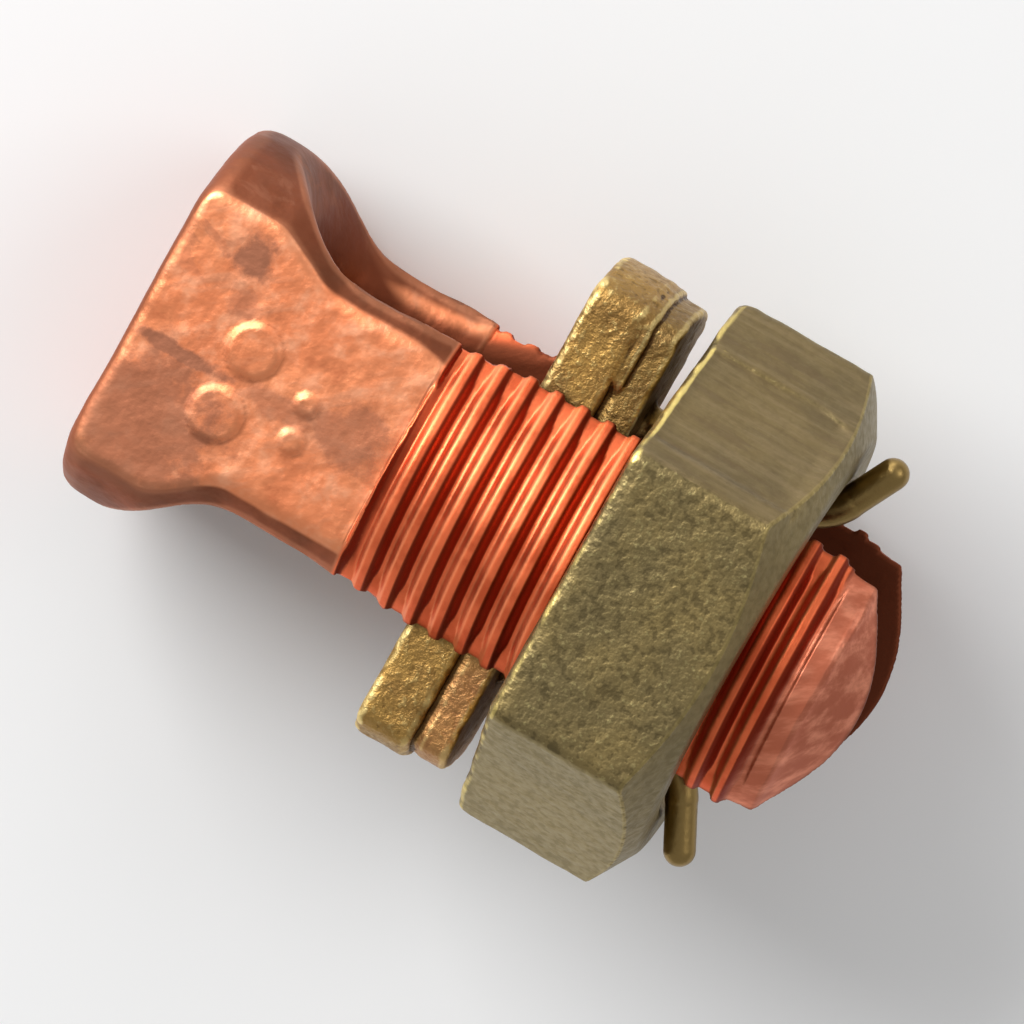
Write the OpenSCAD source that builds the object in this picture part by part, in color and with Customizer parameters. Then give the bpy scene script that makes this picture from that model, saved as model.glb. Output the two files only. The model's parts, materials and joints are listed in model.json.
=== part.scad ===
// Split bolt connector: a slotted bolt, a hexagon nut and a pressure bar.
// The nut drives the bar down the slot and clamps stranded cables against the slot's round bottom.
// It lies as it comes to rest, on the lower edge of the head and on the lower edge of the nut.

/* [Bolt] */
// Length of the bolt, from the end of the head to the tip
bolt_length = 44.4; // [40:0.2:60]
// Diameter of the head's round sides
head_diameter = 22.4; // [21:0.1:26]
// Length of the head's full diameter, before it sweeps in to the neck
head_length = 4.6; // [3:0.1:5.5]
// Length of the sweep from the head to the neck
shoulder_length = 4.2; // [2:0.1:6]
// Diameter of the neck between the head and the thread
neck_diameter = 19.2; // [18.6:0.1:20.6]
// Distance across the two flats of the head and neck
flats_width = 15.8; // [14.6:0.1:17.6]
// Distance from the end of the head to the start of the thread
thread_start = 16.1; // [14:0.1:18]
// Outside diameter of the thread
thread_diameter = 19.05; // [18.2:0.05:19.6]
// Distance from the tip back to the end of the full thread
thread_end_gap = 4; // [3:0.1:6]
// Distance from one crest of the thread to the next
thread_pitch = 1.5875; // [1.2:0.0125:2.5]
// Width of the thread's crests
thread_crest = 0.3; // [0.2:0.05:0.5]
// Depth of the thread's grooves, whose sides stand at 60 degrees
thread_depth = 0.55; // [0.3:0.05:0.7]
// Diameter at the rim of the domed tip
tip_rim_diameter = 17.2; // [15:0.1:18]
// Radius of the domed tip
tip_dome_radius = 15.7; // [12:0.1:40]
// Radius of the edges round the end of the head
head_edge_radius = 1.2; // [0.4:0.1:2]

/* [Cable slot] */
// Width of the slot between the two legs
slot_width = 11.15; // [9:0.05:12]
// Thickness of the head under the slot's round bottom
slot_floor = 5.8; // [4.6:0.1:8]
// Radius of the rounding along both mouths of the slot
mouth_radius = 3.3; // [1:0.1:3.6]
// Distance from the bolt's middle to the start of the rounding, at the neck
mouth_start = 4.55; // [4.2:0.05:6]
// How far the rounding's start leans out for each mm down round the slot's bottom
mouth_lean = 0.36; // [0:0.01:0.5]
// Height from the end of the head up to which the rounding runs straight
mouth_straight_end = 13.5; // [12.5:0.1:16]
// Radius of the curve in which the rounding runs out on the legs
mouth_fade_radius = 11.7; // [10:0.1:20]

/* [Nut] */
// Distance across the flats of the nut
nut_width = 27.8; // [25:0.1:32]
// Thickness of the nut
nut_thickness = 10; // [6:0.1:11]
// Radial play between the nut's bore and the thread
thread_play = 0.05; // [0.02:0.01:0.1]
// Diameter at which the turned chamfer starts on the nut's outer face
nut_chamfer_diameter = 25.6; // [23:0.1:27]
// Angle of the turned chamfer
nut_chamfer_angle = 30; // [15:1:40]
// Diameter of the countersink in the nut's outer face
countersink_diameter = 21; // [20.4:0.1:22]

/* [Pressure bar] */
// Distance from the end of the head to the bar's clamping face
bar_position = 20.8; // [17.5:0.1:21.5]
// Thickness of the bar
bar_thickness = 5.4; // [4:0.1:6]
// Thickness of the narrower ledge on the nut's side, a part of the bar's thickness
ledge_thickness = 1.8; // [0.6:0.1:2.5]
// How much the ledge is set back on each side
ledge_step = 0.5; // [0.2:0.1:1]
// Width of the groove between the bar's body and the ledge
groove_width = 0.3; // [0.2:0.05:0.6]
// Depth of the groove from the side of the bar's body
groove_depth = 0.9; // [0.6:0.1:1.5]
// Length of the bar from the end of one wing to the other
bar_length = 29.8; // [26:0.1:36]
// Radius of the rounded ends of the wings
wing_end_radius = 10; // [7.5:0.1:14.5]
// Gap between the bar and each wall of the slot
bar_play = 0.25; // [0.1:0.05:0.5]
// Gap between the bar and the nut
nut_gap = 1.3; // [0.5:0.1:1.6]
// Diameter of the two prongs that hold the nut on the bar
prong_diameter = 1.7; // [1:0.1:1.9]
// How much the radius of the prong's end is drawn down behind its bend
prong_taper = 0.05; // [0.04:0.01:0.1]
// Gap between a prong and the nut's bore, thread included
prong_play = 1.05; // [0.95:0.05:1.3]
// Radius of the prong's bend
prong_bend_radius = 3; // [2:0.1:3.6]
// Angle of the prong's bend
prong_bend_angle = 60; // [45:1:70]
// Straight length of the prong after its bend
prong_tip_length = 2.8; // [1:0.1:4]
// Height above the nut's outer face at which the bend ends
prong_bend_height = 0.5; // [0.4:0.1:1.5]

/* [Hidden] */
$fn = 96;

past = 1;
head_r = head_diameter / 2;
neck_r = neck_diameter / 2;
thread_r = thread_diameter / 2;
tip_rim_r = tip_rim_diameter / 2;
flat_y = flats_width / 2;
slot_r = slot_width / 2;
slot_centre = slot_floor + slot_r;
thread_end = bolt_length - thread_end_gap;
root_r = thread_r - thread_depth;
flank_run = thread_depth * tan(30);
groove_count = floor((thread_end - thread_start - thread_crest) / thread_pitch);
lip_x = sqrt(thread_r * thread_r - slot_r * slot_r);
mouth_reach = head_r - mouth_start + past;
mouth_fade_angle = acos(1 - (lip_x + past / 2 - mouth_start) / mouth_fade_radius);
tip_dome_centre = bolt_length - sqrt(tip_dome_radius * tip_dome_radius - slot_r * slot_r);
tip_rim_z = tip_dome_centre + sqrt(tip_dome_radius * tip_dome_radius - tip_rim_r * tip_rim_r);

bar_depth = slot_width - 2 * bar_play;
nut_start = bar_position + bar_thickness + nut_gap;
nut_end = nut_start + nut_thickness;
nut_half = nut_width / 2;
nut_corner_r = nut_half / cos(30);
bore_r = thread_r + thread_play;
prong_r = prong_diameter / 2;
prong_tip_r = prong_r - prong_taper;
prong_x = bore_r - prong_play - prong_r;

// The bolt's axis is tipped up by the angle at which the head's edge and the nut's edge touch one plane
rest_run = nut_start - head_edge_radius;
rest_rise = nut_half - flat_y + head_edge_radius;
tilt = atan2(rest_rise, rest_run) - asin(head_edge_radius / norm([rest_run, rest_rise]));
rest_height = nut_half * cos(tilt) - nut_start * sin(tilt);
rear_reach = head_edge_radius * cos(tilt) - (flat_y - head_edge_radius) * sin(tilt) - head_edge_radius;
front_reach = bolt_length * cos(tilt) + slot_r * sin(tilt);
mid_reach = (rear_reach + front_reach) / 2;

// Places a piece, drawn with the bolt's axis along Z, as it lies at rest
module lay_down() {
    translate([-mid_reach, 0, rest_height])
        rotate([0, -tilt, 0])
            rotate([90, 0, 90])
                children();
}

function blend(t) = (1 - cos(180 * min(max(t, 0), 1))) / 2;

// Radius of the bolt's body at a height z, from the head to the thread
function body_r(z) = head_r + (neck_r - head_r) * blend((z - head_length) / shoulder_length);

// The four corners of one groove of the thread. The grooves are rings that stand for the thread's single helix.
function groove(i) =
    let (low = thread_start + thread_crest + i * thread_pitch, high = low + thread_pitch - thread_crest)
        [[thread_r, low], [root_r, low + flank_run], [root_r, high - flank_run], [thread_r, high]];

function arc(centre, r, from, to, steps) =
    [for (i = [0:steps]) centre + r * [cos(from + (to - from) * i / steps), sin(from + (to - from) * i / steps)]];

// Outline of the bolt's round body, from the head's end to the tip
module body_outline() {
    shoulder_steps = 10;
    dome_steps = 6;
    rim_angle = asin((tip_rim_z - tip_dome_centre) / tip_dome_radius);
    polygon(concat(
        [[0, 0]],
        arc([head_r - head_edge_radius, head_edge_radius], head_edge_radius, -90, 0, 6),
        [for (i = [0:shoulder_steps])
            let (z = head_length + shoulder_length * i / shoulder_steps) [body_r(z), z]],
        [[neck_r, thread_start], [thread_r, thread_start]],
        [for (i = [0:groove_count - 1]) each groove(i)],
        [[thread_r, thread_end]],
        arc([0, tip_dome_centre], tip_dome_radius, rim_angle, 90, dome_steps)
    ));
}

// Side outline of the bolt, with the flats of the head and neck and their rounded edges
module flats_outline() {
    inner = flat_y - head_edge_radius;
    translate([-inner, 0])
        square([2 * inner, thread_start]);
    translate([-flat_y, head_edge_radius])
        square([2 * flat_y, thread_start - head_edge_radius]);
    for (side = [-1, 1])
        translate([side * inner, head_edge_radius])
            circle(r = head_edge_radius);
    translate([-head_r, thread_start])
        square([2 * head_r, bolt_length]);
}

module across(length) {
    rotate([90, 0, 90])
        linear_extrude(height = length, center = true)
            children();
}

module slot() {
    across(2 * (head_r + past)) {
        translate([0, slot_centre])
            circle(r = slot_r);
        translate([-slot_r, slot_centre])
            square([slot_width, bolt_length]);
    }
}

// What the rounding takes off one edge of the slot: X outwards from its start, Y from the slot's middle
module mouth_corner() {
    difference() {
        square([mouth_reach, slot_r + mouth_radius]);
        translate([0, slot_r + mouth_radius])
            circle(r = mouth_radius);
    }
}

module mouth_corners() {
    for (side = [0, 1])
        mirror([0, side])
            mouth_corner();
}

// Rounds off the slot's mouth on the bolt's +X side: round the slot's bottom, where it leans out with the
// head, then straight up the neck, and then out of the legs in a wide curve
module mouth() {
    multmatrix([[1, 0, -mouth_lean, mouth_start], [0, 1, 0, 0], [0, 0, 1, slot_centre], [0, 0, 0, 1]])
        rotate([-90, 0, -90])
            rotate_extrude(angle = 180)
                mirror([1, -1])
                    mouth_corner();
    translate([mouth_start, 0, slot_centre])
        linear_extrude(height = mouth_straight_end - slot_centre)
            mouth_corners();
    translate([mouth_start + mouth_fade_radius, 0, mouth_straight_end])
        rotate([90, 0, 180])
            rotate_extrude(angle = mouth_fade_angle)
                translate([mouth_fade_radius, 0])
                    mirror([1, 0])
                        mouth_corners();
}

module split_bolt() {
    color([0.80, 0.45, 0.30])
        lay_down()
            difference() {
                intersection() {
                    rotate_extrude()
                        body_outline();
                    across(2 * (head_r + past))
                        flats_outline();
                }
                slot();
                for (side = [0, 1])
                    mirror([side, 0, 0])
                        mouth();
            }
}

// Outline of the pressure bar from above: straight sides and rounded wing ends
module bar_outline(inset) {
    end_centre = bar_length / 2 - wing_end_radius;
    intersection() {
        square([bar_length, bar_depth - 2 * inset], center = true);
        union() {
            for (side = [-1, 1])
                translate([side * end_centre, 0])
                    circle(r = wing_end_radius - inset);
        }
    }
}

// The prong's end from the origin along Z, a little thinner than the bend, with a domed tip
module domed_rod(length) {
    rotate_extrude() {
        square([prong_tip_r, length]);
        intersection() {
            translate([0, length])
                circle(r = prong_tip_r);
            translate([0, length - past])
                square([prong_tip_r, 2 * past]);
        }
    }
}

// One prong: it runs straight up through the nut's bore and bends out over the nut's outer face
module prong() {
    bend_x = prong_bend_radius * (1 - cos(prong_bend_angle));
    bend_z = prong_bend_radius * sin(prong_bend_angle);
    bend_start = nut_end + prong_bend_height - bend_z;
    foot = bar_position + bar_thickness / 2;
    translate([prong_x, 0, foot])
        cylinder(r = prong_r, h = bend_start - foot);
    translate([prong_x + prong_bend_radius, 0, bend_start])
        rotate([90, 0, 180])
            rotate_extrude(angle = prong_bend_angle)
                translate([prong_bend_radius, 0])
                    circle(r = prong_r);
    translate([prong_x + bend_x, 0, bend_start + bend_z])
        rotate([0, prong_bend_angle, 0])
            translate([0, 0, -prong_tip_r / 4])
                domed_rod(prong_tip_length + prong_tip_r / 4);
}

module pressure_bar() {
    body_thickness = bar_thickness - ledge_thickness - groove_width;
    color([0.72, 0.56, 0.26])
        lay_down() {
            translate([0, 0, bar_position])
                linear_extrude(height = body_thickness)
                    bar_outline(0);
            translate([0, 0, bar_position])
                linear_extrude(height = bar_thickness)
                    bar_outline(groove_depth);
            translate([0, 0, bar_position + body_thickness + groove_width])
                linear_extrude(height = ledge_thickness)
                    bar_outline(ledge_step);
            for (side = [0, 1])
                mirror([side, 0, 0])
                    prong();
        }
}

// Outline of the nut's turned envelope: a plain side and a chamfer round the outer face
module nut_envelope_outline() {
    chamfer_r = nut_chamfer_diameter / 2;
    outer_r = nut_corner_r + past;
    chamfer_depth = (outer_r - chamfer_r) * tan(nut_chamfer_angle);
    polygon([
        [0, nut_start],
        [outer_r, nut_start],
        [outer_r, nut_end - chamfer_depth],
        [chamfer_r, nut_end],
        [0, nut_end]
    ]);
}

module hex_nut() {
    countersink_r = countersink_diameter / 2;
    color([0.60, 0.50, 0.28])
        lay_down()
            difference() {
                intersection() {
                    translate([0, 0, nut_start])
                        cylinder(r = nut_corner_r, h = nut_thickness, $fn = 6);
                    rotate_extrude()
                        nut_envelope_outline();
                }
                translate([0, 0, nut_start - past])
                    cylinder(r = bore_r, h = nut_thickness + 2 * past);
                translate([0, 0, nut_end - countersink_r])
                    cylinder(r1 = 0, r2 = countersink_r + past, h = countersink_r + past);
            }
}

split_bolt();
pressure_bar();
hex_nut();
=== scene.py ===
import itertools
import json
import math

import bpy
import numpy as np
from mathutils import Matrix, Vector


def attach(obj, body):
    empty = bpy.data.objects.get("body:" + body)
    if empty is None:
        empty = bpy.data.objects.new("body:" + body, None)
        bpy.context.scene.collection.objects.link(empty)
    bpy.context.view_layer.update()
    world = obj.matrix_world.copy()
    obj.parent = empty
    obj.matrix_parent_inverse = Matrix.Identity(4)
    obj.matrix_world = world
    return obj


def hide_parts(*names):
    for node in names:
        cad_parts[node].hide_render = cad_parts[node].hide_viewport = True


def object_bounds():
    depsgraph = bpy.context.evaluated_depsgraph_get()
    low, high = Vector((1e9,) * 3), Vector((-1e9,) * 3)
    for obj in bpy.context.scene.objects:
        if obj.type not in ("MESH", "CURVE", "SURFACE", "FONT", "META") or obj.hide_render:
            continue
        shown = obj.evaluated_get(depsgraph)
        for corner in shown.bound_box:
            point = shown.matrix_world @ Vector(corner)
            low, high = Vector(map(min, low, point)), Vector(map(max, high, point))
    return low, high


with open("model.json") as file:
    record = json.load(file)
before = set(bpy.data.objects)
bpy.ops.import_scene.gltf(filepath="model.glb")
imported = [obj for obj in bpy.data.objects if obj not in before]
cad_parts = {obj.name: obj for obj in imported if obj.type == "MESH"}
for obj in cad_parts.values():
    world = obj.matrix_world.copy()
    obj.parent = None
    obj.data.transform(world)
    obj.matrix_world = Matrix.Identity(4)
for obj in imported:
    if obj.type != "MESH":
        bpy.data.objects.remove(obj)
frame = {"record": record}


def plain(box):
    """A box as plain lists of numbers."""
    return [[float(n) for n in corner] for corner in box]


cad_box = plain(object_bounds())

# ---------------------------------------------------------------- sizes
# Sizes are in mm, in the bolt's own directions: Z along its axis from the end of the head,
# X along the cables, Y towards the upper flat. A ROUND is the width over which a corner is rounded.

MM = 0.001
COS30, SIN30, COS45 = 0.866, 0.5, 0.7071

# thread, shared by bolt and nut
PITCH = 1.5875
THREAD_TOP = 9.5
THREAD_ROOT = 8.95
THREAD_CREST = 0.62  # width of the flat on the crest
THREAD_SHIFT = 1.18  # how far the thread is moved along the axis
THREAD_START = 16.1
THREAD_PLAY = 0.16  # radial play between the two threads
THREAD_SCALE = 0.6  # makes a height over the thread's slopes into about a distance

# bolt: head, neck and flats
HEAD_R, NECK_R = 11.2, 9.6
HEAD_END, HEAD_FALL = 4.6, 4.8  # where the head starts to narrow, and over what length
NECK_SWELL = 0.3  # how much the neck's +X side stands out
SWELL_X, SWELL_START, SWELL_END, SWELL_LENGTH = 5, 5.5, 17, 3  # where that grows and fades
NECK_UNDER = 0.2  # how far the neck runs on under the thread
FLAT = 7.9  # from the axis to each flat
END_ROUND, LOWER_END_ROUND, UPPER_END_ROUND = 1.6, 1.5, 1.0
FLAT_ROUND, NECK_END_ROUND, NECK_JOIN_ROUND = 0.35, 0.2, 0.1
# pads on the upper flat: X, Z, radius and height
PADS = [
    (1.45, 6.8, 1.45, 0.17), (-2.5, 6.6, 1.45, 0.17),
    (0.35, 10.7, 0.6, 0.15), (-1.75, 10.9, 0.65, 0.15),
]
PAD_SLOPE = 0.56

# bolt: thread and tip
ROOT_ROUND, CREST_ROUND, START_ROUND, CONE_ROUND = 0.2, 0.34, 0.2, 0.12
WORN_SHARE = 0.62  # share of the thread's depth that is lost at the edges of the legs
WORN_START, WORN_WIDTH = 5.0, 2.0
FADE_START, FADE_LENGTH = 15.4, 1.9  # where the thread grows to its full depth
TIP_Z = [39.0, 39.95, 40.35, 41.9, 42.2, 42.95, 44.0, 44.4, 46.0]
TIP_R = [10.5, 9.62, 9.14, 9.0, 8.5, 7.6, 6.35, 5.76, 3.4]
TIP_ROUND = 0.12  # the profile is averaged over this distance each way
TIP_SCALE = 0.7  # as THREAD_SCALE, for the cone
CORE_R, CORE_HALF, CORE_INSET = 8.6, 2, 0.4  # metal inside the seam of neck and thread

# bolt: slot
SLOT_R = 5.575
SLOT_CENTRE = 5.8 + SLOT_R
MOUTH_R = 3.3  # radius of the mouth's flare
MOUTH_HEAD, MOUTH_FALL = 7.8, 3.25  # X of the flare's start at the head, and how far it comes in
MOUTH_FALL_START, MOUTH_FALL_LENGTH = 2, 7
MOUTH_Z = [12.5, 15, 16.5, 19, 20.4, 21.6]  # the flare runs out along the first threads
MOUTH_OUT = [0, 0.3, 0.72, 1.68, 2.57, 3.6]
WALL_ROUND, WALL_ROUND_MORE = 0.24, 0.1  # the second is added near the tip
WALL_MORE_START, WALL_MORE_LENGTH = 39.5, 1.5
# skins: depth, size of the lumps and seed
FORGED_SKIN = (0.035, 3.1, 1), (0.012, 0.9, 2)
THREAD_DENTS = (0.012, 1.3, 3)

# nut
NUT_START, NUT_END = 27.5, 37.5
NUT_MIDDLE = (NUT_START + NUT_END) / 2
NUT_HALF = 13.9
NUT_CORNER_ROUND, NUT_START_ROUND, NUT_EDGE_ROUND, BORE_ROUND = 0.5, 0.45, 0.15, 0.08
TURNED_R, TURNED_ROUND = 12.8, 0.12  # rim of the turned outer face
BORE_ROOT, BORE_CREST = 9.66, 9.31
COUNTERSINK_R, UNDERCUT_R = 10.5, 10.1
DISH_DEPTH, DISH_EDGE, DISH_LOW, DISH_HIGH = 0.16, 0.6, 3.3, 6.5  # dish in the upper face
DISH_WAVE, DISH_WAVE_SIZE, DISH_WAVE_SEED = 0.7, 3.4, 11  # how its lower edge wanders
CAST_R, CAST_END, CAST_FADE = 12.2, NUT_END - 1.9, 1.2  # where the cast skin starts and ends
NUT_SKIN = (0.03, 2.2, 4), (0.02, 0.75, 5)
BURR, BURR_CUT, BURR_LENGTH = (0.10, 1.6, 7), 0.08, 1.1

# pressure bar
BAR_START, BAR_END = 20.8, 26.2
BAR_HALF, BAR_HALF_THICK = 14.9, 5.325
BAR_END_R, BAR_END_CENTRE = 10.0, 4.9
BAR_CORNER_ROUND = 0.6
LEDGE, LEDGE_INSET = 24.4, 0.45
GROOVE_HALF, GROOVE_INSET = 0.3, 0.55
GROOVE_FILL, GROOVE_FILL_X = 0.42, 8.5  # the groove is nearly closed on the +X wing
MAIN_ROUND, GROOVE_ROUND, LEDGE_ROUND, JOIN_ROUND = 0.5, 0.3, 0.4, 0.12
PRONG_R, PRONG_X, BEND_R = 0.92, 7.675, 3.0
PRONG_START, PRONG_TIP, PRONG_TAPER, PRONG_FILLET = 24.0, 2.8, 0.03, 0.5
BEND_ANGLE = math.radians(63)
BEND_TOP = NUT_END + 0.5
BEND_START = BEND_TOP - BEND_R * math.sin(BEND_ANGLE)

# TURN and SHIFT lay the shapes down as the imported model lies.
nut_turn = [j for j in frame["record"]["behaviour"]["joints"] if j["name"] == "nut_turn"][0]
AXIS = Vector(nut_turn["axis"]).normalized()
CABLES = Vector((0, 1, 0))
UPWARD = AXIS.cross(CABLES)
TURN = np.array(Matrix((CABLES, UPWARD, AXIS)).transposed())
SHIFT = np.array(Vector(nut_turn["pos_m"]) - AXIS * NUT_MIDDLE * MM)


def smax(a, b, k):
    """The larger of a and b, with the corner between them rounded over about k."""
    h = np.clip(0.5 + 0.5 * (a - b) / k, 0, 1)
    return b + (a - b) * h + k * h * (1 - h)


def smin(a, b, k):
    """The smaller of a and b, rounded in the same way."""
    return -smax(-a, -b, k)


def sweep(t):
    """From 0 to 1 with a soft start and end."""
    return (1 - np.cos(np.pi * np.clip(t, 0, 1))) / 2


LUMPS_TABLE = 32  # random numbers along each side of the table, which repeats beyond them
LUMPS_SHIFT = 500  # only chooses which part of the table lies on the object


def lumps(x, y, z, size, seed):
    """Smooth noise from -1 to 1 with lumps of a given size."""
    table = np.random.RandomState(seed).uniform(-1, 1, (LUMPS_TABLE,) * 3)
    parts = []
    for c, s in zip((x, y, z), np.broadcast_to(size, 3)):
        c = c / s + LUMPS_SHIFT
        whole = np.floor(c).astype(int)
        t = c - whole
        parts.append((whole % LUMPS_TABLE, (whole + 1) % LUMPS_TABLE, t * t * (3 - 2 * t)))
    (x0, x1, tx), (y0, y1, ty), (z0, z1, tz) = parts
    total = 0
    for xi, wx in ((x0, 1 - tx), (x1, tx)):
        for yi, wy in ((y0, 1 - ty), (y1, ty)):
            for zi, wz in ((z0, 1 - tz), (z1, tz)):
                total = total + table[xi, yi, zi] * wx * wy * wz
    return total


def skin(x, y, z, *levels):
    """Lumps of several levels of (depth, size, seed)."""
    return sum(depth * lumps(x, y, z, size, seed) for depth, size, seed in levels)


# ---------------------------------------------------------------- shapes, as signed distances


def thread_height(x, y, z):
    """Radius of a 60 degree thread, climbing right-handed, before its crest is cut off."""
    apex = THREAD_TOP + COS30 * THREAD_CREST
    turn = np.arctan2(y, x) / (2 * np.pi)
    phase = (z - THREAD_SHIFT) / PITCH - turn
    tooth = np.abs(phase - np.floor(phase) - 0.5) * 2
    return apex - COS30 * PITCH * (1 - tooth)


def bolt(x, y, z):
    r = np.hypot(x, y)
    ax, ay = np.abs(x), np.abs(y)
    # head and neck: a round body, swept in from the head to the neck, between two flats
    radius = HEAD_R + (NECK_R - HEAD_R) * sweep((z - HEAD_END) / HEAD_FALL)
    swell = NECK_SWELL * sweep(x / SWELL_X) * sweep((z - SWELL_START) / SWELL_LENGTH)
    radius = radius + swell * sweep((SWELL_END - z) / SWELL_LENGTH)
    round_side = smax(r - radius, -z, END_ROUND)
    # plain round pads stand a little above the upper flat
    lift = sum(
        rise * sweep((size + PAD_SLOPE / 2 - np.hypot(x - px, z - pz)) / PAD_SLOPE)
        for px, pz, size, rise in PADS
    )
    end_round = np.where(y < 0, LOWER_END_ROUND, UPPER_END_ROUND)
    flat_side = smax(ay - FLAT - np.where(y > 0, lift, 0), -z, end_round)
    head = smax(round_side, flat_side, FLAT_ROUND)
    head = smax(head, z - THREAD_START - NECK_UNDER, NECK_END_ROUND)
    # thread, shallow where it starts and at the edges of the legs
    worn = WORN_SHARE * sweep((ax - WORN_START) / WORN_WIDTH)
    depth = (THREAD_TOP - THREAD_ROOT) * (1 - worn) * sweep((z - FADE_START) / FADE_LENGTH)
    height = smax(thread_height(x, y, z), THREAD_TOP - depth, ROOT_ROUND)
    height = smin(height, THREAD_TOP + 0 * z, CREST_ROUND)
    thread = smax((r - height) * THREAD_SCALE, THREAD_START - z, START_ROUND)
    # smooth land and cone at the tip
    tip = sum(np.interp(z + o, TIP_Z, TIP_R) for o in (-TIP_ROUND, 0, TIP_ROUND)) / 3
    thread = smax(thread, (r - tip) * TIP_SCALE, CONE_ROUND)
    body = smin(head, thread, NECK_JOIN_ROUND)
    # the core closes the seam between neck and thread
    core = np.maximum(r - CORE_R, ay - FLAT + CORE_INSET)
    core = np.maximum(core, np.abs(z - THREAD_START) - CORE_HALF)
    body = np.minimum(body, core)
    # slot with a round bottom; u and v are how far a point is past the start of the mouth's flare,
    # outwards and into the wall
    depth = np.where(z < SLOT_CENTRE, np.hypot(y, z - SLOT_CENTRE), ay)
    start = MOUTH_HEAD - MOUTH_FALL * sweep((z - MOUTH_FALL_START) / MOUTH_FALL_LENGTH)
    start = start + np.interp(z, MOUTH_Z, MOUTH_OUT)
    u = ax - start
    v = SLOT_R + MOUTH_R - depth
    arc = np.hypot(np.maximum(u, 0), np.maximum(v, 0)) - MOUTH_R
    wall = np.where(v > 0, np.where(u > 0, arc, v - MOUTH_R), u - MOUTH_R)
    more = WALL_ROUND_MORE * sweep((z - WALL_MORE_START) / WALL_MORE_LENGTH)
    return smax(body, wall, WALL_ROUND + more)


def bolt_rough(x, y, z):
    """Forged skin on the head, neck and slot, and the small dents of a rolled thread."""
    forged = 1 - sweep((z - THREAD_START + 0.4) / 0.4)
    return forged * skin(x, y, z, *FORGED_SKIN) + skin(x, y, z, THREAD_DENTS)


def nut(x, y, z):
    r = np.hypot(x, y)
    sides = [
        np.abs(x * math.cos(a) + y * math.sin(a)) - NUT_HALF
        for a in np.radians([30, 90, 150])
    ]
    hexagon = smax(smax(sides[0], sides[1], NUT_CORNER_ROUND), sides[2], NUT_CORNER_ROUND)
    solid = smax(hexagon, NUT_START - z, NUT_START_ROUND)
    turned = (z - NUT_END) * COS30 + (r - TURNED_R) * SIN30
    solid = smax(solid, turned, TURNED_ROUND)
    solid = smax(solid, z - NUT_END, NUT_EDGE_ROUND)
    height = thread_height(x, y, z) + THREAD_PLAY
    height = np.maximum(np.minimum(height, BORE_ROOT), BORE_CREST)
    solid = smax(solid, (height - r) * THREAD_SCALE, BORE_ROUND)
    countersink = (COUNTERSINK_R - r + (z - NUT_END)) * COS45
    solid = smax(solid, countersink, NUT_EDGE_ROUND)
    undercut = (UNDERCUT_R - r - (z - NUT_START)) * COS45
    return smax(solid, undercut, NUT_EDGE_ROUND)


def nut_rough(x, y, z):
    """Sand-cast sides, a burr on the head's side and a dished upper face; the rest is turned."""
    r = np.hypot(x, y)
    cast = sweep((r - CAST_R) / CAST_FADE) * (1 - sweep((z - CAST_END) / CAST_FADE))
    upper_side = x * COS30 + y * SIN30
    side = np.maximum(np.abs(upper_side), np.maximum(np.abs(y), np.abs(x * COS30 - y * SIN30)))
    edge = sweep((NUT_START + BURR_LENGTH - z) / BURR_LENGTH)
    edge = edge * sweep((side - NUT_HALF + 0.9) / 0.7)
    burr = edge * (skin(x, y, z, BURR) - BURR_CUT)
    # the dish's lower edge is a wavy crease that runs along Z
    across = y * COS30 - x * SIN30
    wave = DISH_WAVE * lumps(0 * x, 0 * y, z, DISH_WAVE_SIZE, DISH_WAVE_SEED)
    dish = sweep((across + DISH_LOW + wave) / DISH_EDGE) * sweep((DISH_HIGH - across) / 0.8)
    dish = dish * sweep((upper_side - 12.9) / 0.6) * sweep((z - NUT_START - 0.3) / 0.7)
    return cast * (skin(x, y, z, *NUT_SKIN) - DISH_DEPTH * dish) + burr


def rod(x, z, a, b, y, radius):
    """A straight round rod with round ends, in the plane y = 0."""
    dx, dz = b[0] - a[0], b[1] - a[1]
    t = np.clip(((x - a[0]) * dx + (z - a[1]) * dz) / (dx * dx + dz * dz), 0, 1)
    return np.sqrt((x - a[0] - t * dx) ** 2 + y * y + (z - a[1] - t * dz) ** 2) - radius


def prongs(x, y, z):
    """Two round prongs, each with a straight part, a bend and a straight end."""
    ax = np.abs(x)
    stem = rod(ax, z, (PRONG_X, PRONG_START), (PRONG_X, BEND_START), y, PRONG_R)
    cx = PRONG_X + BEND_R
    angle = np.clip(np.arctan2(z - BEND_START, cx - ax), 0, BEND_ANGLE)
    px, pz = cx - BEND_R * np.cos(angle), BEND_START + BEND_R * np.sin(angle)
    curve = np.sqrt((ax - px) ** 2 + y * y + (z - pz) ** 2) - PRONG_R
    sx, sz = cx - BEND_R * math.cos(BEND_ANGLE), BEND_TOP
    ex, ez = sx + PRONG_TIP * math.sin(BEND_ANGLE), sz + PRONG_TIP * math.cos(BEND_ANGLE)
    tip = rod(ax, z, (sx, sz), (ex, ez), y, PRONG_R - PRONG_TAPER)
    return np.minimum(np.minimum(stem, curve), tip)


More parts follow.
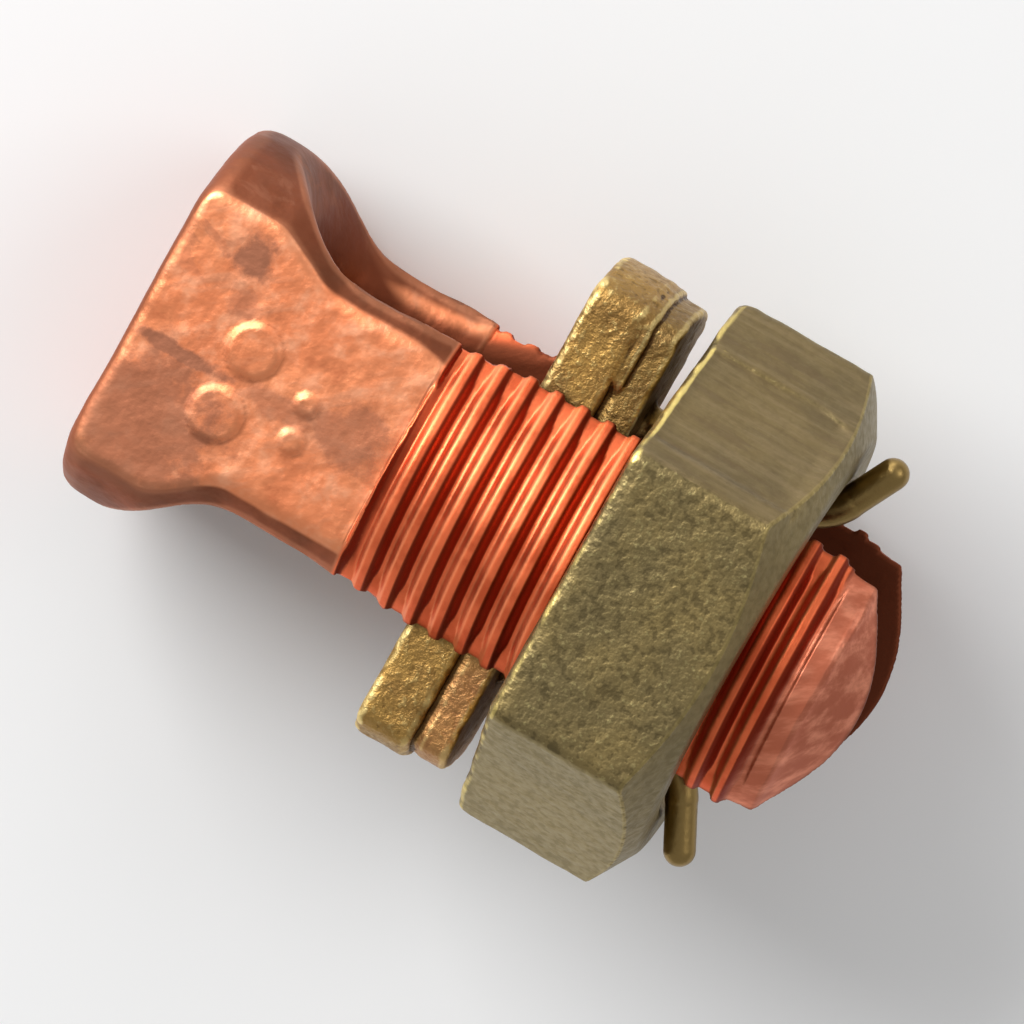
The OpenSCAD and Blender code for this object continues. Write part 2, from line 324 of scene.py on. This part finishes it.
def bar(x, y, z):
    ax, ay = np.abs(x), np.abs(y)
    ends = np.hypot(np.maximum(ax - BAR_END_CENTRE, 0), ay) - BAR_END_R
    ends = np.where(ax > BAR_END_CENTRE, ends, -5.0)
    fill = GROOVE_FILL * sweep((x - GROOVE_FILL_X) / 1.0)

    def prism(inset, low, high, soft):
        outline = smax(ay - BAR_HALF_THICK + inset, ends + inset, BAR_CORNER_ROUND)
        outline = smax(outline, ax - BAR_HALF + inset, BAR_CORNER_ROUND)
        return smax(smax(outline, low - z, soft), z - high, soft)

    main = prism(0, BAR_START, LEDGE - GROOVE_HALF, MAIN_ROUND)
    groove = prism(GROOVE_INSET - fill, BAR_START + 1, LEDGE + GROOVE_HALF, GROOVE_ROUND)
    ledge = prism(LEDGE_INSET, LEDGE, BAR_END, LEDGE_ROUND)
    solid = smin(smin(main, groove, JOIN_ROUND), ledge, JOIN_ROUND)
    return smin(solid, prongs(x, y, z), PRONG_FILLET)


def bar_rough(x, y, z):
    """Cast skin, coarser towards the ends of the wings; the prongs are smooth."""
    cast = 1 - sweep((z - BAR_END + 0.2) / 0.8)
    ends = sweep((np.abs(x) - 9.0) / 3.0)
    levels = (0.03, 2.6, 8), (0.012 + 0.04 * ends, 0.75, 9), (0.015, 0.4, 10)
    return cast * skin(x, y, z, *levels)


# ---------------------------------------------------------------- from distances to a mesh

SLAB = 24  # layers of the grid that are worked out at once
LEAST_SLOPE, LONGEST_STEP = 0.05, 0.15  # limits of one step towards the surface
SLOPE_REACH = 0.02  # half the distance over which a slope is measured
BULGE_REACH, FORM_REACH = 0.22, 0.6  # how far fine and broad bulging are measured
TILT_START, TILT_LENGTH = 12.5, 3.0  # the grid's tilt along the thread grows with Z from here,
TILT_SIDE, TILT_WIDTH = 1.5, 2.5  # and with the distance from the slot's middle plane from here


def net(field, axes, warp):
    """Points and quads of the surface where the field is zero.

    Each crossed cell of the grid gets a point, and each crossed edge a face over it.
    """
    counts = [len(a) for a in axes]
    value = np.empty(counts, np.float32)
    gx, gy = np.meshgrid(axes[0], axes[1], indexing="ij")
    for at in range(0, counts[2], SLAB):
        gz = axes[2][at:at + SLAB][None, None, :]
        px, py, pz = warp(gx[:, :, None], gy[:, :, None], gz)
        value[:, :, at:at + SLAB] = field(px, py, pz)
    inside = value < 0
    some = np.zeros([n - 1 for n in counts], bool)
    every = np.ones([n - 1 for n in counts], bool)
    for offset in itertools.product((0, 1), repeat=3):
        corner = inside[tuple(slice(o, n - 1 + o) for o, n in zip(offset, counts))]
        some |= corner
        every &= corner
    crossed = some & ~every
    number = np.full(some.shape, -1, np.int64)
    where = np.argwhere(crossed)
    number[crossed] = np.arange(len(where))
    total = np.zeros((len(where), 3))
    hits = np.zeros(len(where))
    for axis in range(3):
        b, c = (axis + 1) % 3, (axis + 2) % 3
        for ob, oc in itertools.product((0, 1), repeat=2):
            near = where.copy()
            near[:, b] += ob
            near[:, c] += oc
            far = near.copy()
            far[:, axis] += 1
            v0 = value[tuple(near.T)].astype(float)
            v1 = value[tuple(far.T)].astype(float)
            hit = (v0 < 0) != (v1 < 0)
            point = near[hit].astype(float)
            point[:, axis] += v0[hit] / (v0[hit] - v1[hit])
            total[hit] += point
            hits[hit] += 1
    points = total / hits[:, None]
    grid = [np.interp(points[:, i], np.arange(counts[i]), axes[i]) for i in range(3)]
    quads = []
    for axis in range(3):
        b, c = (axis + 1) % 3, (axis + 2) % 3
        low = [slice(None)] * 3
        high = [slice(None)] * 3
        low[axis], high[axis] = slice(0, -1), slice(1, None)
        at = np.argwhere(inside[tuple(low)] != inside[tuple(high)])
        at = at[(at[:, b] > 0) & (at[:, c] > 0)]
        at = at[(at[:, b] < counts[b] - 1) & (at[:, c] < counts[c] - 1)]
        outward = inside[tuple(at.T)]
        step_b, step_c = np.eye(3, dtype=int)[b], np.eye(3, dtype=int)[c]
        cells = (at, at - step_b, at - step_b - step_c, at - step_c)
        quad = np.stack([number[tuple(p.T)] for p in cells], 1)
        quad[~outward] = quad[~outward][:, ::-1]
        quads.append(quad)
    return np.stack(warp(*grid), 1), np.concatenate(quads)


def relax(points, quads):
    """Moves each point halfway to the middle of its neighbours, to even out zigzag edges."""
    total = np.zeros_like(points)
    count = np.zeros(len(points))
    for side in range(4):
        here, before = quads[:, side], quads[:, side - 1]
        for a, b in ((here, before), (before, here)):
            for axis in range(3):
                total[:, axis] += np.bincount(a, points[b, axis], len(points))
            count += np.bincount(a, minlength=len(points))
    return (points + total / count[:, None]) / 2


def slope(field, p):
    """The field's gradient at each point."""
    x, y, z = p.T
    e = SLOPE_REACH
    return np.stack([
        field(x + e, y, z) - field(x - e, y, z),
        field(x, y + e, z) - field(x, y - e, z),
        field(x, y, z + e) - field(x, y, z - e),
    ], 1) / (2 * e)


def settle(field, points):
    """Moves points onto the surface where the field is zero."""
    for _ in range(2):
        g = slope(field, points)
        step = field(*points.T) / np.maximum((g * g).sum(1), LEAST_SLOPE)
        points = points - np.clip(step, -LONGEST_STEP, LONGEST_STEP)[:, None] * g
    return points


def bulging(field, p, e):
    """How strongly the surface bulges (above 0) or is hollow (below 0) at each point."""
    x, y, z = p.T
    total = -6 * field(x, y, z)
    for o in (-e, e):
        total = total + field(x + o, y, z) + field(x, y + o, z) + field(x, y, z + o)
    return total / (e * e)


def unwarped(x, y, z):
    return x + 0 * y + 0 * z, y + 0 * x + 0 * z, z + 0 * x + 0 * y


def along_thread(x, y, z):
    """Tilts the grid's layers along the thread, so that its crests follow rows of points."""
    share = sweep((z - TILT_START) / TILT_LENGTH) * sweep((np.abs(y) - TILT_SIDE) / TILT_WIDTH)
    turn = np.arctan2(np.abs(y), x * np.sign(y + 1e-9)) / (2 * np.pi) - 0.25
    return x + 0 * z, y + 0 * z, z + share * PITCH * turn


def piece(name, field, rough, axes, warp, body, node):
    """Makes one piece of the scene from its field and the roughness that lifts its surface."""
    def whole(x, y, z):
        return field(x, y, z) - rough(x, y, z)

    points, quads = net(field, axes, warp)
    for _ in range(2):
        points = settle(whole, relax(points, quads))
    points = settle(whole, points)
    normals = slope(whole, points)
    normals /= np.maximum(np.linalg.norm(normals, axis=1), 1e-9)[:, None]
    placed = points @ TURN.T * MM + SHIFT
    mesh = bpy.data.meshes.new(name)
    mesh.vertices.add(len(points))
    mesh.vertices.foreach_set("co", placed.astype(np.float32).ravel())
    mesh.loops.add(quads.size)
    mesh.loops.foreach_set("vertex_index", quads.astype(np.int32).ravel())
    mesh.polygons.add(len(quads))
    mesh.polygons.foreach_set("loop_start", np.arange(0, quads.size, 4, dtype=np.int32))
    mesh.update(calc_edges=True)
    mesh.validate()
    mesh.shade_smooth()
    mesh.normals_split_custom_set_from_vertices((normals @ TURN.T).astype(np.float32))
    local = mesh.attributes.new("local", "FLOAT_VECTOR", "POINT")
    local.data.foreach_set("vector", points.astype(np.float32).ravel())
    bulges = bulging(whole, points, BULGE_REACH), bulging(field, points, FORM_REACH)
    for label, values in zip(("bulge", "form"), bulges):
        made = mesh.attributes.new(label, "FLOAT", "POINT")
        made.data.foreach_set("value", values.astype(np.float32))
    made = bpy.data.objects.new(name, mesh)
    bpy.context.scene.collection.objects.link(made)
    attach(made, body)
    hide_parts(node)
    print(name, len(points), "points", 2 * len(quads), "triangles")
    return made


coarse = 1.0
THREAD_GRID_START, THREAD_GRID_LENGTH = 15.5, 29.5
thread_layers = THREAD_GRID_START + np.arange(0, THREAD_GRID_LENGTH, PITCH / 12 * coarse)


def grid_line(*stretches):
    """Positions over stretches of (low, high, step) that join end to end."""
    parts = [
        np.linspace(low, high, int(round((high - low) / (step * coarse))) + 1)
        for low, high, step in stretches
    ]
    return np.concatenate([part[:-1] for part in parts[:-1]] + parts[-1:])


bolt_piece = piece(
    "split_bolt_forged", bolt, bolt_rough,
    [grid_line((-11.6, -4.4, 0.3), (-4.4, 4.4, 0.24), (4.4, 11.6, 0.3)),
     grid_line((-9.9, 9.9, 0.3)),
     np.concatenate([
         grid_line((-0.5, 4.5, 0.27), (4.5, 11.5, 0.2), (11.5, THREAD_GRID_START, 0.27))[:-1],
         thread_layers,
     ])],
    along_thread, "bolt", "split_bolt",
)
nut_piece = piece(
    "hex_nut_cast", nut, nut_rough,
    [grid_line((-16.5, 16.5, 0.21)), grid_line((-14.4, 14.4, 0.21)), grid_line((27.0, 38.0, 0.17))],
    unwarped, "nut", "hex_nut",
)
bar_piece = piece(
    "pressure_bar_cast", bar, bar_rough,
    [grid_line((-15.4, 15.4, 0.17)), grid_line((-5.9, 5.9, 0.17)), grid_line((20.3, 40.6, 0.16))],
    unwarped, "bar", "pressure_bar",
)

# ---------------------------------------------------------------- materials

COPPER = {
    "warm": (1.0, 0.36, 0.165),
    "deep": (0.95, 0.30, 0.13),
    "pale": (1.0, 0.50, 0.29),
    "red": (0.76, 0.20, 0.085),
    "streak": (1.0, 0.50, 0.30),
    "crest_red": (0.84, 0.145, 0.052),
    "crest_orange": (1.0, 0.215, 0.082),
    # painted shade and painted highlight on the thread's flanks
    "shaded_flank": (0.24, 0.030, 0.012),
    "lit_flank": (1.0, 0.34, 0.15),
    "tip_brown": (0.56, 0.175, 0.10),
    "tip_pale": (0.92, 0.36, 0.22),
    # round sides of the head and neck: brown that is partly oxide and partly painted shade, then
    # painted shade
    "side_brown": (0.36, 0.10, 0.048),
    "side_dark": (0.19, 0.058, 0.029),
    "side_shade": (0.05, 0.014, 0.008),
    # painted shade in the slot
    "slot": (0.19, 0.050, 0.023),
    "oxide": (0.36, 0.145, 0.083),
    # worn edges with a painted highlight
    "edge": (1.0, 0.42, 0.22),
    # painted shade on the head's end face
    "end": (0.34, 0.09, 0.04),
    # painted shade in the creases
    "crease": (0.25, 0.05, 0.02),
}
# brown patches on the upper flat: centre and half size (X, Z), and strength
PATCHES = [
    ((5.7, 4.4), (1.5, 1.4), 0.95), ((-0.6, 3.4), (0.55, 4.4), 0.95),
    ((-5.2, 3.4), (5.4, 5.0), 0.8), ((-0.2, 13.6), (2.2, 2.6), 0.7),
    ((3.4, 5.2), (1.2, 1.0), 0.6), ((-0.5, 9.5), (0.9, 3.0), 0.6),
]
BRONZE = {
    "light": (0.31, 0.228, 0.092),
    "dark": (0.225, 0.172, 0.078),
    "pit": (0.05, 0.038, 0.018),
    # painted glints
    "glint": (0.48, 0.39, 0.17),
    "brushed_light": (0.50, 0.37, 0.20),
    "brushed_dark": (0.19, 0.125, 0.065),
    "upper": (0.155, 0.110, 0.060),
    "lower": (0.36, 0.29, 0.14),
    "turned": (0.18, 0.14, 0.063),
    # painted highlight on the burr and on the worn corners
    "burr": (1.0, 0.78, 0.25),
    "corner": (0.55, 0.42, 0.16),
}
BRASS = {
    "light": (0.44, 0.26, 0.075),
    "dark": (0.29, 0.165, 0.053),
    "grain": (0.66, 0.46, 0.17),
    "pit": (0.10, 0.055, 0.018),
    "upper_ledge": (0.13, 0.085, 0.035),
    "lower_ledge": (0.50, 0.22, 0.10),
    "prong": (0.30, 0.20, 0.07),
    # painted highlight on worn edges, and painted shade in the hollows
    "edge": (0.98, 0.76, 0.32),
    "hollow": (0.06, 0.026, 0.010),
}


class Paint:
    """Builds one node material on the Principled shader. Places and sizes in it are in mm."""

    def __init__(self, name):
        self.material = bpy.data.materials.new(name)
        self.material.use_nodes = True
        self.nodes = self.material.node_tree.nodes
        self.links = self.material.node_tree.links
        self.shader = self.nodes["Principled BSDF"]
        place = self.nodes.new("ShaderNodeAttribute")
        place.attribute_name = "local"
        self.place = place.outputs["Vector"]

    def put(self, value, target):
        if isinstance(value, bpy.types.NodeSocket):
            self.links.new(value, target)
        else:
            target.default_value = value

    def noise(self, scale, detail, rough, stretch=(1, 1, 1), turn=(0, 0, 0), distort=0.0):
        """Noise; scale is in lumps per mm, and stretch makes the lumps longer in a direction."""
        mapping = self.nodes.new("ShaderNodeMapping")
        mapping.vector_type = "TEXTURE"
        mapping.inputs["Rotation"].default_value = [math.radians(a) for a in turn]
        mapping.inputs["Scale"].default_value = stretch
        self.links.new(self.place, mapping.inputs["Vector"])
        node = self.nodes.new("ShaderNodeTexNoise")
        node.inputs["Scale"].default_value = scale
        node.inputs["Detail"].default_value = detail
        node.inputs["Roughness"].default_value = rough
        node.inputs["Distortion"].default_value = distort
        self.links.new(mapping.outputs["Vector"], node.inputs["Vector"])
        return node.outputs["Fac"]

    def attribute(self, name):
        node = self.nodes.new("ShaderNodeAttribute")
        node.attribute_name = name
        return node.outputs["Fac"]

    def span(self, value, a, b, low=0.0, high=1.0):
        """value from a to b becomes low to high, held at both ends."""
        node = self.nodes.new("ShaderNodeMapRange")
        node.interpolation_type = "SMOOTHSTEP"
        for label, number in (("From Min", a), ("From Max", b), ("To Min", low), ("To Max", high)):
            node.inputs[label].default_value = number
        self.put(value, node.inputs["Value"])
        return node.outputs["Result"]

    def math(self, kind, a, b=0.0):
        node = self.nodes.new("ShaderNodeMath")
        node.operation = kind
        self.put(a, node.inputs[0])
        self.put(b, node.inputs[1])
        return node.outputs[0]

    def times(self, a, b):
        return self.math("MULTIPLY", a, b)

    def plus(self, a, b):
        return self.math("ADD", a, b)

    def minus(self, a, b):
        return self.math("SUBTRACT", a, b)

    def larger(self, a, b):
        return self.math("MAXIMUM", a, b)

    def unsigned(self, a):
        return self.math("ABSOLUTE", a)

    def mix(self, share, a, b):
        node = self.nodes.new("ShaderNodeMix")
        node.data_type = "RGBA"
        self.put(share, node.inputs["Factor"])
        for target, value in ((node.inputs[6], a), (node.inputs[7], b)):
            self.put((*value, 1) if isinstance(value, tuple) else value, target)
        return node.outputs[2]

    def over(self, base, colour, share, strength=None):
        """base with a colour laid over it, by a share from 0 to 1 times a strength."""
        return self.mix(share if strength is None else self.times(share, strength), base, colour)

    def part(self, axis):
        """One coordinate of the place on the part."""
        node = self.nodes.new("ShaderNodeSeparateXYZ")
        self.links.new(self.place, node.inputs[0])
        return node.outputs[axis]

    def spot(self, x, z, centre, size, ragged):
        """1 inside an oval patch with a ragged edge, 0 outside."""
        squares = [
            self.math("POWER", self.unsigned(self.times(self.minus(a, c), 1 / s)), 2.0)
            for a, c, s in zip((x, z), centre, size)
        ]
        away = self.math("SQRT", self.plus(*squares))
        return self.span(self.plus(away, self.times(ragged, 1.6)), 1.95, 1.35)

    def facing(self, direction):
        """How squarely the surface faces along a direction of the row frame, -1 to 1."""
        node = self.nodes.new("ShaderNodeVectorMath")
        node.operation = "DOT_PRODUCT"
        normal = self.nodes.new("ShaderNodeTexCoord").outputs["Normal"]
        self.links.new(normal, node.inputs[0])
        node.inputs[1].default_value = direction
        return node.outputs["Value"]

    def bumps(self, *levels):
        """Bumps of (height, depth), from coarse to fine."""
        last = None
        for height, depth in levels:
            node = self.nodes.new("ShaderNodeBump")
            node.inputs["Strength"].default_value = 1
            node.inputs["Distance"].default_value = depth * MM
            self.links.new(height, node.inputs["Height"])
            if last is not None:
                self.links.new(last, node.inputs["Normal"])
            last = node.outputs["Normal"]
        self.links.new(last, self.shader.inputs["Normal"])

    def finish(self, colour, roughness):
        self.put(colour, self.shader.inputs["Base Color"])
        self.put(roughness, self.shader.inputs["Roughness"])
        self.shader.inputs["Metallic"].default_value = 1.0
        return self.material


def copper():
    p = Paint("forged_copper")
    x, y, z = (p.part(i) for i in range(3))
    bulge = p.attribute("bulge")
    form = p.attribute("form")
    blotch = p.noise(0.16, 5, 0.6)
    mottle = p.noise(0.5, 5, 0.58)
    dimple = p.noise(0.7, 2.5, 0.5)
    streak = p.noise(1.1, 4, 0.58, stretch=(1, 1, 4.5), turn=(0, 38, 0))
    grain = p.noise(4.5, 3, 0.6)
    thread = p.span(z, 15.9, 16.2)
    plain_part = p.minus(1.0, thread)
    face = p.span(p.unsigned(p.facing(UPWARD)), 0.78, 0.90)
    # flats: mottled copper
    base = p.mix(p.span(blotch, 0.35, 0.68), COPPER["warm"], COPPER["deep"])
    base = p.over(base, COPPER["pale"], p.span(mottle, 0.47, 0.68), 0.6)
    base = p.over(base, COPPER["red"], p.span(mottle, 0.45, 0.30), 0.45)
    base = p.over(base, COPPER["streak"], p.span(streak, 0.52, 0.70), 0.3)
    # thread: orange crests; the flanks facing the tip get painted shade and those facing the head a
    # painted highlight
    along = p.facing(AXIS)
    turns = p.mix(p.span(mottle, 0.35, 0.62), COPPER["crest_red"], COPPER["crest_orange"])
    turns = p.over(turns, COPPER["shaded_flank"], p.span(along, 0.12, 0.5))
    turns = p.over(turns, COPPER["lit_flank"], p.span(along, -0.12, -0.5), 0.6)
    tip = p.mix(p.span(streak, 0.40, 0.72), COPPER["tip_brown"], COPPER["tip_pale"])
    turns = p.over(turns, tip, p.span(z, 40.1, 40.5), 0.85)
    base = p.mix(thread, base, turns)
    # the round sides of the head and neck are darker brown, partly oxide and partly painted shade,
    # with more painted shade towards +X
    side = p.times(p.minus(1.0, face), plain_part)
    dark = p.mix(p.span(blotch, 0.38, 0.60), COPPER["side_brown"], COPPER["side_dark"])
    dark = p.over(dark, COPPER["side_shade"], p.span(x, 3.0, 7.0, 0.0, 0.5))
    base = p.over(base, dark, side, 0.92)
    # painted shade on the slot's walls, where the front leg shades the back one
    slot = p.times(p.span(p.unsigned(y), 6.1, 5.65), p.span(z, 5.0, 5.6))
    base = p.over(base, COPPER["slot"], slot)
    # brown oxide: loose patches near the head's end, and the larger ones of the upper flat
    patch = p.noise(0.36, 5, 0.6, distort=0.6)
    ragged = p.noise(0.8, 5, 0.62)
    near = p.times(p.span(z, 9.0, 4.0), p.span(p.unsigned(x), 1.0, 6.0, 0.4, 1.0))
    oxide = p.times(p.span(patch, 0.55, 0.64), p.times(near, 0.5))
    upper_flat = p.span(y, 6.6, 7.3)
    for centre, size, strength in PATCHES:
        spot = p.times(p.spot(x, z, centre, size, ragged), upper_flat)
        oxide = p.larger(oxide, p.times(spot, strength))
    base = p.over(base, COPPER["oxide"], oxide, plain_part)
    # worn edges with a painted highlight, painted shade on the head's end face, and painted shade
    # in the creases
    edge = p.times(p.span(form, 0.35, 1.1), plain_part)
    base = p.over(base, COPPER["edge"], edge, 0.2)
    # painted shade on the head's end face, against the key lamp's reflection there
    base = p.over(base, COPPER["end"], p.span(z, 1.0, 0.2, 0.0, 0.6))
    # painted shade in the creases
    crease = p.times(p.span(bulge, -0.6, -2.0), plain_part)
    base = p.over(base, COPPER["crease"], crease, 0.35)
    rough = p.span(mottle, 0.3, 0.7, 0.38, 0.50)
    rough = p.plus(rough, p.times(oxide, 0.15))
    rough = p.plus(rough, p.times(p.larger(side, slot), 0.10))
    rough = p.minus(rough, p.times(edge, 0.06))
    level = p.times(dimple, p.plus(0.2, p.times(plain_part, 0.8)))
    p.bumps((level, 0.09), (streak, 0.018), (grain, 0.010))
    return p.finish(base, rough)


def bronze():
    p = Paint("sand_cast_bronze")
    z = p.part(2)
    bulge = p.attribute("bulge")
    blotch = p.noise(0.14, 5, 0.6)
    sand = p.noise(2.2, 2.5, 0.5)
    glint = p.noise(3.6, 2, 0.5)
    brushed = p.noise(1.6, 5, 0.62, stretch=(1, 1, 9))
    upper = p.span(p.facing(CABLES * COS30 + UPWARD * SIN30), 0.90, 0.97)
    lower = p.span(p.facing(CABLES * -COS30 + UPWARD * SIN30), 0.90, 0.97)
    turned = p.larger(p.span(z, 37.3, 37.45), p.span(p.facing(AXIS), 0.75, 0.9))
    smooth = p.larger(p.larger(upper, p.times(lower, 0.6)), turned)
    cast = p.minus(1.0, p.times(smooth, 0.8))
    # cast skin: dark pits, and painted glints on the sand's high points
    base = p.mix(p.span(blotch, 0.35, 0.65), BRONZE["light"], BRONZE["dark"])
    pits = p.times(p.span(sand, 0.50, 0.36), cast)
    base = p.over(base, BRONZE["pit"], pits, 0.5)
    bright = p.times(p.times(p.span(sand, 0.50, 0.62), p.span(glint, 0.52, 0.64)), cast)
    base = p.over(base, BRONZE["glint"], bright, 0.6)
    # brushed upper face, paler lower face and turned outer face
    base = p.over(base, BRONZE["brushed_light"], p.span(brushed, 0.46, 0.66), p.times(upper, 0.35))
    base = p.over(base, BRONZE["brushed_dark"], p.span(brushed, 0.50, 0.36), p.times(upper, 0.45))
    base = p.over(base, BRONZE["upper"], upper, 0.45)
    base = p.over(base, BRONZE["lower"], lower, 0.5)
    base = p.over(base, BRONZE["turned"], turned, 0.6)
    # the burr on the head's side with a painted highlight where the light falls, and worn corners
    # with a painted highlight
    burr = p.times(p.span(bulge, 1.5, 3.0), p.span(z, 29.0, 28.2))
    base = p.over(base, BRONZE["burr"], burr, 0.95)
    base = p.over(base, BRONZE["corner"], p.span(bulge, 1.6, 3.4), 0.35)
    rough = p.span(sand, 0.35, 0.65, 0.52, 0.40)
    rough = p.minus(rough, p.times(burr, 0.12))
    p.bumps((p.times(sand, cast), 0.075), (p.times(brushed, smooth), 0.04))
    return p.finish(base, rough)


def brass():
    p = Paint("rough_cast_brass")
    x, z = p.part(0), p.part(2)
    bulge = p.attribute("bulge")
    blotch = p.noise(0.3, 5, 0.6)
    sand = p.noise(2.4, 4, 0.6)
    fine = p.noise(6.0, 3, 0.6)
    prong = p.span(z, 26.3, 26.9)
    cast = p.minus(1.0, prong)
    base = p.mix(p.span(blotch, 0.35, 0.65), BRASS["light"], BRASS["dark"])
    base = p.over(base, BRASS["grain"], p.span(sand, 0.55, 0.68), 0.6)
    base = p.over(base, BRASS["pit"], p.span(sand, 0.46, 0.34), 0.5)
    # the ledge is darker on the upper wing and redder on the lower one
    ledge = p.times(p.span(z, 24.1, 24.5), cast)
    base = p.over(base, BRASS["upper_ledge"], ledge, p.span(x, 5.0, 9.0, 0.0, 0.45))
    base = p.over(base, BRASS["lower_ledge"], ledge, p.span(x, -5.0, -9.0, 0.0, 0.5))
    base = p.over(base, BRASS["prong"], prong)
    # worn edges with a painted highlight, strongest on the head's side where the light falls, and
    # painted shade in the hollows
    edge = p.times(p.span(bulge, 1.2, 3.0), cast)
    base = p.over(base, BRASS["edge"], edge, p.span(z, 22.5, 21.5, 0.4, 0.85))
    base = p.over(base, BRASS["hollow"], p.span(bulge, -0.8, -2.6), 0.85)
    rough = p.span(sand, 0.35, 0.65, 0.50, 0.38)
    rough = p.minus(rough, p.times(prong, 0.10))
    level = p.times(sand, p.minus(1.0, p.times(prong, 0.9)))
    p.bumps((level, 0.12), (fine, 0.012))
    return p.finish(base, rough)


bolt_piece.data.materials.append(copper())
nut_piece.data.materials.append(bronze())
bar_piece.data.materials.append(brass())

# ---------------------------------------------------------------- floor, camera, lamps and world
# From here on, sizes are in metres, apart from the focal length.

FLOOR_SIZE, FLOOR_COLOUR, FLOOR_ROUGH = 3.0, (0.86, 0.86, 0.86), 0.6
EYE = Vector((-0.0654, 0.0795, 0.4931))
DOWN = Vector((0.4748, -0.8709, 0.1263))  # the direction that points down in the picture
FOCAL_LENGTH = 320
# lamps: name, direction (right, up and towards the camera), distance, size and power in watts
LAMPS = [
    ("key", (-0.75, 0.75, 1.0), 0.60, (0.40, 0.30), 3.7),
    ("fill", (0.9, 0.15, 0.9), 0.70, (0.35, 0.35), 0.8),
    ("top", (-0.1, 1.0, 0.35), 0.60, (0.35, 0.18), 0.9),
]
WORLD_COLOUR, WORLD_STRENGTH = (0.85, 0.85, 0.85), 0.50

bpy.ops.mesh.primitive_plane_add(size=FLOOR_SIZE, location=(0, 0, 0))
floor = bpy.context.object
floor.name = "floor"
floor_paint = bpy.data.materials.new("pale_floor")
floor_paint.use_nodes = True
floor_shader = floor_paint.node_tree.nodes["Principled BSDF"]
floor_shader.inputs["Base Color"].default_value = (*FLOOR_COLOUR, 1)
floor_shader.inputs["Roughness"].default_value = FLOOR_ROUGH
floor.data.materials.append(floor_paint)

camera = bpy.data.objects.new("camera", bpy.data.cameras.new("camera"))
bpy.context.scene.collection.objects.link(camera)
low, high = (Vector(c) for c in cad_box)
AIM = (low + high) / 2
forward = (AIM - EYE).normalized()
right = DOWN.cross(forward).normalized()
down = forward.cross(right)
camera.matrix_world = Matrix((right, -down, -forward)).transposed().to_4x4()
camera.location = EYE
camera.data.lens = FOCAL_LENGTH
camera.data.clip_start = 0.01
bpy.context.scene.camera = camera

for name, direction, distance, size, watts in LAMPS:
    lamp = bpy.data.objects.new(name, bpy.data.lights.new(name, "AREA"))
    bpy.context.scene.collection.objects.link(lamp)
    lamp.data.shape = "RECTANGLE"
    lamp.data.size, lamp.data.size_y = size
    lamp.data.energy = watts
    towards = right * direction[0] - down * direction[1] - forward * direction[2]
    lamp.location = AIM + towards.normalized() * distance
    lamp.rotation_euler = (AIM - lamp.location).to_track_quat("-Z", "Y").to_euler()

world = bpy.data.worlds.new("world")
bpy.context.scene.world = world
world.use_nodes = True
sky = world.node_tree.nodes["Background"]
sky.inputs["Color"].default_value = (*WORLD_COLOUR, 1)
sky.inputs["Strength"].default_value = WORLD_STRENGTH
bpy.context.scene.view_settings.view_transform = "Standard"
